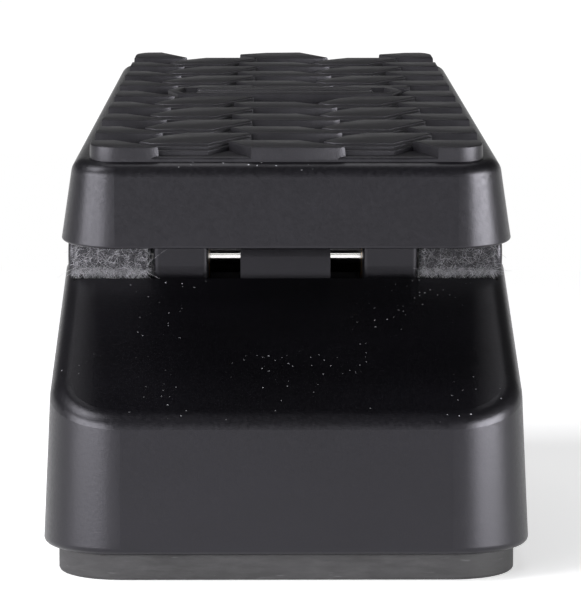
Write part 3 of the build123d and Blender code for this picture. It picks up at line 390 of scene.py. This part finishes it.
def capacitor_sleeve():
    """A shrunk dark blue sleeve with pale side bars."""
    finish = Finish("capacitor_sleeve")
    bars = finish.maths("GREATER_THAN", finish.bands(3.0, "Z"), 0.93)
    colour = finish.mix(bars, (0.014, 0.017, 0.06), (0.35, 0.38, 0.45))
    finish.surface(colour, finish.span(finish.grain(1.0), 0.3, 0.7, 0.22, 0.36))
    finish.relief(finish.grain(0.8), 0.02)
    return finish.material


def resistor_body():
    """A lacquered tan body with coloured rings."""
    finish = Finish("resistor_body")
    rings = finish.bands(1.3, "X")
    hue = finish.ramp(finish.grain(2.6, detail=0.0), [(0.35, (0.35, 0.10, 0.03)), (0.5, (0.05, 0.02, 0.02)),
                                                     (0.65, (0.42, 0.03, 0.02))])
    colour = finish.mix(finish.maths("GREATER_THAN", rings, 0.72), (0.52, 0.38, 0.22), hue)
    finish.surface(colour, 0.38)
    finish.relief(finish.grain(0.5), 0.02)
    return finish.material


def ferrite():
    finish = Finish("ferrite")
    grain = finish.grain(0.25, detail=4.0, rough=0.7)
    finish.surface(finish.mix(grain, (0.02, 0.02, 0.023), (0.10, 0.10, 0.11)), 0.55)
    finish.relief(grain, 0.03)
    return finish.material


ALONG_X = (12.0, 1.0, 1.0)
ALONG_Y = (1.0, 12.0, 1.0)
EVENLY = (1.0, 1.0, 1.0)

finishes = {
    "black_powder_coat": powder_coat(),
    "base_rubber": pad_rubber(),
    "bumper_rubber": bumper_rubber(),
    "tread_rubber": tread_rubber(),
    "grey_felt": felt(),
    "polished_steel": metal("polished_steel", (0.92, 0.91, 0.89), (0.84, 0.83, 0.81), 0.10, (1.0, 9.0, 9.0)),
    "zinc_steel": metal("zinc_steel", (0.62, 0.63, 0.64), (0.46, 0.48, 0.50), 0.30, ALONG_Y, spots=0.7),
    "nickel_plate": metal("nickel_plate", (0.72, 0.69, 0.64), (0.58, 0.55, 0.50), 0.20, EVENLY),
    "bronze": metal("bronze", (0.56, 0.36, 0.16), (0.38, 0.22, 0.09), 0.38, EVENLY, spots=0.9),
    "white_acetal": plastic("white_acetal", (0.74, 0.73, 0.68), (0.82, 0.81, 0.77), 0.38),
    "black_plastic": plastic("black_plastic", (0.016, 0.016, 0.017), (0.034, 0.034, 0.036), 0.42),
    "pot_can": metal("pot_can", (0.64, 0.64, 0.60), (0.50, 0.50, 0.46), 0.30, ALONG_X, spots=0.5),
    "tinned_lugs": metal("tinned_lugs", (0.66, 0.65, 0.60), (0.50, 0.49, 0.44), 0.36, EVENLY, spots=0.8),
    "board_green": board_green(),
    "ferrite": ferrite(),
    "copper_winding": copper_winding(),
    "capacitor_sleeve": capacitor_sleeve(),
    "film_red": plastic("film_red", (0.30, 0.028, 0.018), (0.46, 0.06, 0.035), 0.22, size=1.2, depth=0.04),
    "resistor_body": resistor_body(),
}
fibre_finish = felt_fibre()

for row in frame["record"]["subparts"]:
    for material_slot in nodes[row["node"]].material_slots:
        material_slot.material = finishes[row["material_slot"]]


# ---- Mesh helpers -----------------------------------------------------------------------------------

def make_piece(name, body, material, vertices, faces, smooth_angle=40.0):
    """A mesh object that rides on a body; its vertices are in metres in the row frame."""
    mesh = bpy.data.meshes.new(name)
    mesh.from_pydata(vertices, [], faces)
    mesh.update()
    mesh.polygons.foreach_set("use_smooth", [True] * len(mesh.polygons))
    mesh.set_sharp_from_angle(angle=math.radians(smooth_angle))
    mesh.materials.append(material)
    piece = bpy.data.objects.new(name, mesh)
    bpy.context.scene.collection.objects.link(piece)
    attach(piece, body)
    return piece


def add_shell(vertices, faces, rings):
    """A closed shell through rings of equal length, flat at both ends."""
    count, first = len(rings[0]), len(vertices)
    for ring in rings:
        vertices.extend(ring)
    faces.append([first + place for place in reversed(range(count))])
    for level in range(len(rings) - 1):
        start = first + level * count
        for place in range(count):
            after = (place + 1) % count
            faces.append([start + place, start + after, start + count + after, start + count + place])
    faces.append([first + (len(rings) - 1) * count + place for place in range(count)])


def edges_of(shape):
    return list(zip(shape, shape[1:] + shape[:1]))


def side_of(a, b, point):
    """Above 0 where point is to the left of the line from a to b."""
    return (b - a).cross(point - a)


def clip_line(shape, a, b):
    """The part of a convex shape to the left of the line from a to b."""
    kept = []
    for p, q in edges_of(shape):
        side_p, side_q = side_of(a, b, p), side_of(a, b, q)
        if side_p >= 0:
            kept.append(p)
        if (side_p >= 0) != (side_q >= 0):
            kept.append(p.lerp(q, side_p / (side_p - side_q)))
    return kept


def clip(shape, fence):
    """The part of a convex shape inside a convex anticlockwise fence."""
    for a, b in edges_of(fence):
        if shape:
            shape = clip_line(shape, a, b)
    return shape


def area(shape):
    return sum(p.cross(q) for p, q in edges_of(shape)) / 2 if len(shape) > 2 else 0.0


def cut_back(shape, hole):
    """A convex shape with one straight cut that clears a convex hole, keeping as much as it can."""
    if area(clip(shape, hole)) < 0.01:
        return shape
    return max((clip_line(shape, b, a) for a, b in edges_of(hole)), key=area)


def merge_close(shape, distance=0.3):
    """Drop points that nearly repeat the one before."""
    kept = []
    for point in shape:
        if not kept or (point - kept[-1]).length > distance:
            kept.append(point)
    while len(kept) > 1 and (kept[0] - kept[-1]).length <= distance:
        kept.pop()
    return kept


def inset(shape, distance):
    """An anticlockwise shape brought in by distance, with mitred corners."""
    moved = []
    for index, point in enumerate(shape):
        before = (point - shape[index - 1]).normalized()
        after = (shape[(index + 1) % len(shape)] - point).normalized()
        first, second = Vector((-before.y, before.x)), Vector((-after.y, after.x))
        spread = max(1 + first.dot(second), 0.35)
        moved.append(point + (first + second) * (distance / spread))
    return moved


def rounded_rectangle(low, high, radius, steps=7):
    """Points of a rounded rectangle, anticlockwise."""
    points = []
    for x, y, start in (
        (high.x - radius, low.y + radius, -90),
        (high.x - radius, high.y - radius, 0),
        (low.x + radius, high.y - radius, 90),
        (low.x + radius, low.y + radius, 180),
    ):
        for step in range(steps + 1):
            angle = math.radians(start + 90 * step / steps)
            points.append(Vector((x + radius * math.cos(angle), y + radius * math.sin(angle))))
    return points


def on_treadle(shape, height):
    """An outline at a height over the hinge axis, from the treadle's frame in mm to the row frame."""
    return [treadle_place @ (Vector((point.x, point.y, height)) * MM) for point in shape]


def add_block(vertices, faces, shape, low, high, edge=BLOCK_EDGE, draft=BLOCK_DRAFT):
    """A raised block with drafted walls and a rounded top edge."""
    shape = merge_close(shape)
    if len(shape) < 3:
        return
    rings = [on_treadle(shape, low)]
    for turn in (0, 30, 60, 90):
        angle = math.radians(turn)
        inward = draft + edge * (1 - math.cos(angle))
        rings.append(on_treadle(inset(shape, inward), high - edge * (1 - math.sin(angle))))
    add_shell(vertices, faces, rings)


# ---- Tread mat and badge ----------------------------------------------------------------------------

mat_low, mat_high = treadle_box("tread_mat")
mat_outline = rounded_rectangle(mat_low, mat_high, MAT_RADIUS)
sheet_top = mat_low.z + MAT_SHEET


def block_outline(column, row, reach=0.0):
    """A leaning block, its row's front line at 0; the columns between lean right and reach forward."""
    if row == ROWS - 1:
        points = [(-5.0, 0.0), (7.2, 0.0), (8.4, 0.6), (3.2, 9.0), (-3.4, 8.4), (-8.4, 5.8)]
    elif column % 2 == 0:
        points = [(-5.0, 0.0), (7.2, 0.0), (8.4, 0.6), (1.8, 6.8), (-6.6, 6.8), (-8.4, 5.8)]
    else:
        points = [
            (-8.0, 5.7), (-6.3, 3.8), (2.1, 3.9), (8.2, 12.6), (7.6, 13.6), (-1.4, 13.6), (-4.7, 10.8),
        ]
    return [Vector((x, y - reach)) for x, y in points]


def badge_outline(grow):
    """A bar with pointed ends across the tread."""
    x, y = BADGE_LENGTH / 2 + grow, BADGE_WIDTH / 2 + grow
    tip = x - BADGE_WIDTH / 5
    middle = Vector((0.0, mat_low.y + BADGE_ROW * ROW_PITCH))
    corners = [(-x, 0), (-tip, -y), (tip, -y), (x, 0), (tip, y), (-tip, y)]
    return [middle + Vector(corner) for corner in corners]


def tread_mat():
    """A sheet with five columns of blocks; the second and fourth have low steps in front."""
    vertices, faces = [], []
    add_block(vertices, faces, mat_outline, mat_low.z, sheet_top, edge=SHEET_EDGE, draft=0.0)
    fence = inset(mat_outline, -FENCE_GROW)
    hole = badge_outline(BADGE_GAP)
    for column in range(-2, 3):
        between = column % 2 == 1
        tiers = [(0.0, 0.0)] + (STEPS if between else [])
        for row in range(ROWS - between):
            corner = Vector((column * COLUMN_PITCH, mat_low.y + row * ROW_PITCH))
            for drop, reach in tiers:
                outline = [corner + point for point in block_outline(column, row, reach)]
                shape = cut_back(clip(outline, fence), hole)
                if area(shape) > SMALLEST_BLOCK:
                    add_block(vertices, faces, shape, mat_low.z + BLOCK_ROOT, mat_high.z - drop)
    finish = finishes["tread_rubber"]
    piece = make_piece("tread_mat_moulded", "treadle", finish, vertices, faces)
    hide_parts("tread_mat")


def tread_badge():
    """A plain raised bar with a sunk panel and two long ribs in it."""
    outline = badge_outline(0.0)
    vertices, faces = [], []
    top = treadle_box("tread_badge")[1].z
    panel = top - BADGE_SUNK
    rings = [on_treadle(outline, sheet_top - 0.05)]
    for turn in (0, 45, 90):
        angle = math.radians(turn)
        inward = BADGE_EDGE * (1 - math.cos(angle))
        rings.append(on_treadle(inset(outline, inward), top - BADGE_EDGE * (1 - math.sin(angle))))
    for inward, height in ((0.0, top), (0.15, top - 0.15), (0.3, panel)):
        rings.append(on_treadle(inset(outline, BADGE_RIM + inward), height))
    add_shell(vertices, faces, rings)
    middle = Vector((0.0, mat_low.y + BADGE_ROW * ROW_PITCH))
    for way in (-1, 1):
        centre = middle + Vector((0.0, way * BADGE_WIDTH / 6))
        reach = Vector((BADGE_LENGTH * 0.38, 0.9))
        rib = rounded_rectangle(centre - reach, centre + reach, 0.8)
        add_block(vertices, faces, rib, panel - 0.05, top, edge=0.25)
    finish = finishes["tread_rubber"]
    piece = make_piece("tread_badge_bar", "treadle", finish, vertices, faces)
    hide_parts("tread_badge")


# ---- Felt pads and their loose fibres ---------------------------------------------------------------

def felt_section(steps=44, leg_steps=7):
    """Points over a felt's section, heel side to toe side: (outward y, outward z, y and z on the axis's
    line from which the thickness grows)."""
    foot = (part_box("felt_pad_left")[0].z - hinge.z) / MM
    section = []
    for step in range(leg_steps):
        section.append((-1.0, 0.0, foot * (1 - step / leg_steps)))
    for step in range(steps + 1):
        angle = math.pi * (1 - step / steps)
        section.append((math.cos(angle), math.sin(angle), 0.0))
    for step in range(1, leg_steps + 1):
        section.append((1.0, 0.0, foot * step / leg_steps))
    return section


def felt_point(x, out_y, out_z, drop, radius):
    return Vector((x, hinge.y / MM + out_y * radius, hinge.z / MM + out_z * radius + drop))


def felt_pad(node, stations=56):
    """A pressed felt strip bent over its drum, slightly lumpy, with softened edges."""
    low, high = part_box(node)
    x0, x1 = low.x / MM, high.x / MM
    section = felt_section()
    count = len(section)
    vertices, faces = [], []
    for station in range(stations + 1):
        x = x0 + (x1 - x0) * station / stations
        from_end = min(x - x0, x1 - x)
        shoulder = 0.55 * max(0.0, 1 - from_end / 0.7) ** 2
        for along, (out_y, out_z, drop) in enumerate(section):
            lump = 0.10 * noise.noise(Vector((x, out_y * 9 + drop, out_z * 9)) * 0.9)
            lump += 0.07 * noise.noise(Vector((x, out_y * 9 + drop, out_z * 9)) * 2.7)
            foot = 0.45 * max(0.0, 1 - min(along, count - 1 - along) / 3) ** 2
            radius = FELT_OUTER - 0.10 - shoulder - foot + lump
            vertices.append(felt_point(x, out_y, out_z, drop, radius) * MM)
        for out_y, out_z, drop in section:
            vertices.append(felt_point(x, out_y, out_z, drop, FELT_INNER) * MM)
    ring = 2 * count
    for station in range(stations):
        here, there = station * ring, (station + 1) * ring
        for along in range(count - 1):
            faces.append([here + along, there + along, there + along + 1, here + along + 1])
            inner = along + count
            faces.append([here + inner + 1, there + inner + 1, there + inner, here + inner])
        for along, way in ((0, 1), (count - 1, -1)):
            quad = [here + along, here + along + count, there + along + count, there + along]
            faces.append(quad[::way])
    for station, way in ((0, 1), (stations, -1)):
        start = station * ring
        for along in range(count - 1):
            quad = [start + along, start + along + 1, start + along + 1 + count, start + along + count]
            faces.append(quad[::way])
    finish = finishes["grey_felt"]
    piece = make_piece(f"{node}_pressed", "base", finish, vertices, faces, 75.0)
    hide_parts(node)


def add_fibre(vertices, faces, shades, path, thickness, shade):
    """A thin three-sided tube along a path, tapering to its tip."""
    first = len(vertices)
    for index, point in enumerate(path):
        ahead = path[min(index + 1, len(path) - 1)] - path[max(index - 1, 0)]
        across = ahead.orthogonal().normalized()
        other = ahead.normalized().cross(across)
        radius = thickness * (1 - 0.6 * index / (len(path) - 1))
        for turn in (0, 120, 240):
            angle = math.radians(turn)
            outward = across * math.cos(angle) + other * math.sin(angle)
            vertices.append((point + outward * radius) * MM)
    for index in range(len(path) - 1):
        start = first + 3 * index
        for side in range(3):
            after = (side + 1) % 3
            faces.append([start + side, start + after, start + 3 + after, start + 3 + side])
    last = first + 3 * (len(path) - 1)
    faces.append([first + 2, first + 1, first])
    faces.append([last, last + 1, last + 2])
    shades.extend([shade] * (3 * len(path)))


def bent_path(start, direction, bend, length, points=6):
    """A path that leaves along direction and curls towards bend."""
    steps = [length * index / (points - 1) for index in range(points)]
    return [start + direction * step + bend * step * step / length for step in steps]


def felt_fuzz(node, seed, count=5400):
    """Loose fibres on the two faces of a felt pad that the treadle's shoe doesn't cover."""
    dice = random.Random(seed)
    low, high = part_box(node)
    foot = low.z / MM - hinge.z / MM
    vertices, faces, shades = [], [], []
    for number in range(count):
        way = -1 if dice.random() < 0.72 else 1
        x = dice.uniform(low.x / MM + 0.1, high.x / MM - 0.1)
        at_edge = dice.random() < 0.34
        height = foot + dice.random() ** 2 * 0.5 if at_edge else dice.uniform(foot, SHOE_CLEAR + 0.9)
        lean = max(height, 0.0) / FELT_OUTER
        outward = Vector((0.0, way * math.cos(math.asin(lean)), lean))
        radius = FELT_OUTER - 0.22 - (0.3 if at_edge else 0.0)
        start = Vector((x, hinge.y / MM, hinge.z / MM))
        start += outward * radius if height > 0 else Vector((0.0, way * radius, height))
        near_shoe = height > SHOE_CLEAR - 0.4
        stand = 0.12 if near_shoe else dice.uniform(0.15, 0.6)
        flat = Vector((dice.uniform(-1, 1), 0.0, dice.uniform(-1, 0.2 if at_edge else 0.5)))
        direction = (flat.normalized() + outward * stand).normalized()
        bend = Vector((dice.uniform(-1, 1), 0.0, dice.uniform(-0.8, 0.6))) * 0.7 - outward * 0.25
        length = dice.uniform(0.35, 0.9) if near_shoe else dice.uniform(0.5, 1.5)
        if at_edge and dice.random() < 0.08:
            length *= 1.8
        thickness = dice.uniform(0.015, 0.028)
        shade = dice.random() ** 1.8 * 0.7
        if dice.random() < (0.45 if at_edge else 0.20):
            thickness = dice.uniform(0.022, 0.036)
            shade = dice.uniform(0.75, 1.0)
        add_fibre(vertices, faces, shades, bent_path(start, direction, bend, length), thickness, shade)
    fibres_piece(f"{node}_fibres", vertices, faces, shades)


def fibres_piece(name, vertices, faces, shades):
    piece = make_piece(name, "base", fibre_finish, vertices, faces, 180.0)
    attribute = piece.data.attributes.new("shade", "FLOAT", "POINT")
    attribute.data.foreach_set("value", shades)


def stray_hairs():
    """A few long hairs that have worked loose at the felts' lower edges."""
    left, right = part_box("felt_pad_left"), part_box("felt_pad_right")
    front = hinge.y / MM - FELT_OUTER
    hairs = [
        (left[0].x / MM + 0.4, 0.6, (-1.0, -0.25, -0.30), (0.1, -0.2, -0.35), 3.4),
        (left[1].x / MM - 0.5, 1.0, (0.80, -0.30, 0.62), (0.1, -0.1, 0.05), 4.4),
        (left[0].x / MM + 4.0, 0.2, (0.35, -0.5, -0.75), (0.9, 0.0, 0.95), 3.8),
        (left[0].x / MM + 6.5, 0.3, (-0.5, -0.6, -0.5), (1.0, 0.0, 0.6), 2.8),
        (right[1].x / MM - 0.3, 0.9, (0.9, -0.25, -0.35), (0.1, -0.2, -0.1), 2.4),
        (right[0].x / MM + 5.0, 0.2, (0.6, -0.5, -0.6), (-0.9, 0.0, 0.7), 2.4),
    ]
    vertices, faces, shades = [], [], []
    for x, height, direction, bend, length in hairs:
        start = Vector((x, front + 0.15, left[0].z / MM + height))
        path = bent_path(start, Vector(direction).normalized(), Vector(bend) * 0.5, length, points=12)
        add_fibre(vertices, faces, shades, path, 0.022, 0.85)
    fibres_piece("stray_hairs", vertices, faces, shades)


tread_mat()
tread_badge()
for seed, node in enumerate(("felt_pad_left", "felt_pad_right"), start=11):
    felt_pad(node)
    felt_fuzz(node, seed)
stray_hairs()


# ---- Floor, light and camera ------------------------------------------------------------------------

def stage_plane(name, near, height, material):
    """A level plane that is no part of the object; it runs from near towards the camera's side."""
    mesh = bpy.data.meshes.new(name)
    size = STAGE_SIZE
    corners = [(-size, -size, height), (size, -size, height), (size, near, height), (-size, near, height)]
    mesh.from_pydata(corners, [], [[0, 1, 2, 3]])
    mesh.materials.append(material)
    piece = bpy.data.objects.new(name, mesh)
    bpy.context.scene.collection.objects.link(piece)
    return piece


def floor():
    """White paper that glows where it runs off into the white backdrop."""
    finish = Finish("studio_floor")
    paper = finish.grain(30.0, detail=3.0)
    distance = finish.add("ShaderNodeVectorMath", operation="LENGTH")
    finish.feed(distance.inputs[0], finish.place)
    away = finish.span(distance.outputs["Value"], FLOOR_LIT, FLOOR_WHITE)
    colour = finish.mix(paper, (0.86, 0.86, 0.88), (0.90, 0.90, 0.91))
    finish.surface(finish.mix(away, colour, (0.0, 0.0, 0.0)), 0.9)
    finish.shader.inputs["Specular IOR Level"].default_value = 0.0
    finish.shader.inputs["Emission Color"].default_value = (1.0, 1.0, 1.0, 1.0)
    finish.feed(finish.shader.inputs["Emission Strength"], finish.span(away, 0.0, 1.0, FLOOR_GLOW, 1.0))
    stage_plane("studio_floor", STAGE_SIZE, 0.0, finish.material)


def black_flag():
    """A black card on the table behind the camera, which keeps the far floor out of reflections."""
    finish = Finish("black_flag")
    weave = finish.grain(2.0, detail=2.0)
    finish.surface(finish.mix(weave, (0.004, 0.004, 0.004), (0.008, 0.008, 0.008)), 0.9)
    stage_plane("black_flag", FLAG_NEAR, FLAG_LIFT, finish.material).visible_camera = False


def world_light():
    """A dark studio, pale behind the object and along the front horizon. Only reflections see it:
    the camera itself sees plain white."""
    world = bpy.data.worlds.new("studio")
    bpy.context.scene.world = world
    world.use_nodes = True
    tree = world.node_tree
    background = tree.nodes["Background"]
    axes = tree.nodes.new("ShaderNodeSeparateXYZ")
    tree.links.new(tree.nodes.new("ShaderNodeTexCoord").outputs["Generated"], axes.inputs[0])

    def span(value, low, high, start, end):
        node = tree.nodes.new("ShaderNodeMapRange")
        tree.links.new(value, node.inputs[0])
        for socket, amount in zip(node.inputs[1:5], (low, high, start, end)):
            socket.default_value = amount
        return node.outputs[0]

    def join(operation, first, second):
        node = tree.nodes.new("ShaderNodeMath")
        node.operation = operation
        tree.links.new(first, node.inputs[0])
        tree.links.new(second, node.inputs[1])
        return node.outputs[0]

    front = span(axes.outputs["Y"], -0.97, -0.70, FRONT_BAND, SIDE_BAND)
    back = span(axes.outputs["Y"], 0.0, 0.80, 0.0, BACK_BAND)
    band = join("MULTIPLY", join("MAXIMUM", front, back), span(axes.outputs["Z"], 0.10, 0.36, 1.0, 0.0))
    horizon = join("MULTIPLY", span(axes.outputs["Y"], -0.95, -0.60, HORIZON_GLOW, 0.0),
                   span(axes.outputs["Z"], 0.07, 0.16, 1.0, 0.0))
    band = join("MAXIMUM", band, horizon)
    room = tree.nodes.new("ShaderNodeValue").outputs[0]
    room.default_value = ROOM_LIGHT
    seen = tree.nodes.new("ShaderNodeLightPath").outputs["Is Camera Ray"]
    tree.links.new(join("MAXIMUM", join("ADD", band, room), seen), background.inputs["Strength"])
    background.inputs["Color"].default_value = (1.0, 1.0, 1.0, 1.0)


def softbox(name, azimuth, elevation, distance, width, height, power, gloss_only=False):
    """An area light that looks at the object; azimuth is degrees to the right of the camera's side."""
    light = bpy.data.lights.new(name, "AREA")
    light.shape = "RECTANGLE"
    light.size, light.size_y, light.energy = width, height, power
    piece = bpy.data.objects.new(name, light)
    bpy.context.scene.collection.objects.link(piece)
    target = Vector((0.0, -0.03, 0.03))
    turn, rise = math.radians(azimuth), math.radians(elevation)
    reach = Vector((math.sin(turn) * math.cos(rise), -math.cos(turn) * math.cos(rise), math.sin(rise)))
    piece.location = target + reach * distance
    piece.rotation_euler = (-reach).to_track_quat("-Z", "Y").to_euler()
    piece.visible_diffuse = not gloss_only


def camera():
    lens = bpy.data.cameras.new("camera")
    lens.lens = LENS
    lens.sensor_width = 36.0
    lens.clip_start = 0.01
    lens.clip_end = 20.0
    piece = bpy.data.objects.new("camera", lens)
    bpy.context.scene.collection.objects.link(piece)
    heel = cad_box[0][1]
    piece.location = (CAMERA_X * MM, heel - CAMERA_FROM_HEEL * MM, CAMERA_HEIGHT * MM)
    piece.rotation_euler = (math.radians(90 - CAMERA_PITCH), 0.0, math.radians(-CAMERA_YAW))
    bpy.context.scene.camera = piece


floor()
black_flag()
world_light()
softbox("key", azimuth=-68, elevation=48, distance=1.2, width=0.5, height=0.5, power=7)
softbox("left_box", azimuth=-51, elevation=8, distance=1.1, width=1.05, height=0.5, power=16)
softbox("right_box", azimuth=59, elevation=8, distance=1.1, width=0.85, height=0.5, power=23,
        gloss_only=True)
softbox("overhead", azimuth=180, elevation=75, distance=1.2, width=0.6, height=0.6, power=2)
camera()
bpy.context.scene.view_settings.view_transform = "Standard"
bpy.context.view_layer.update()
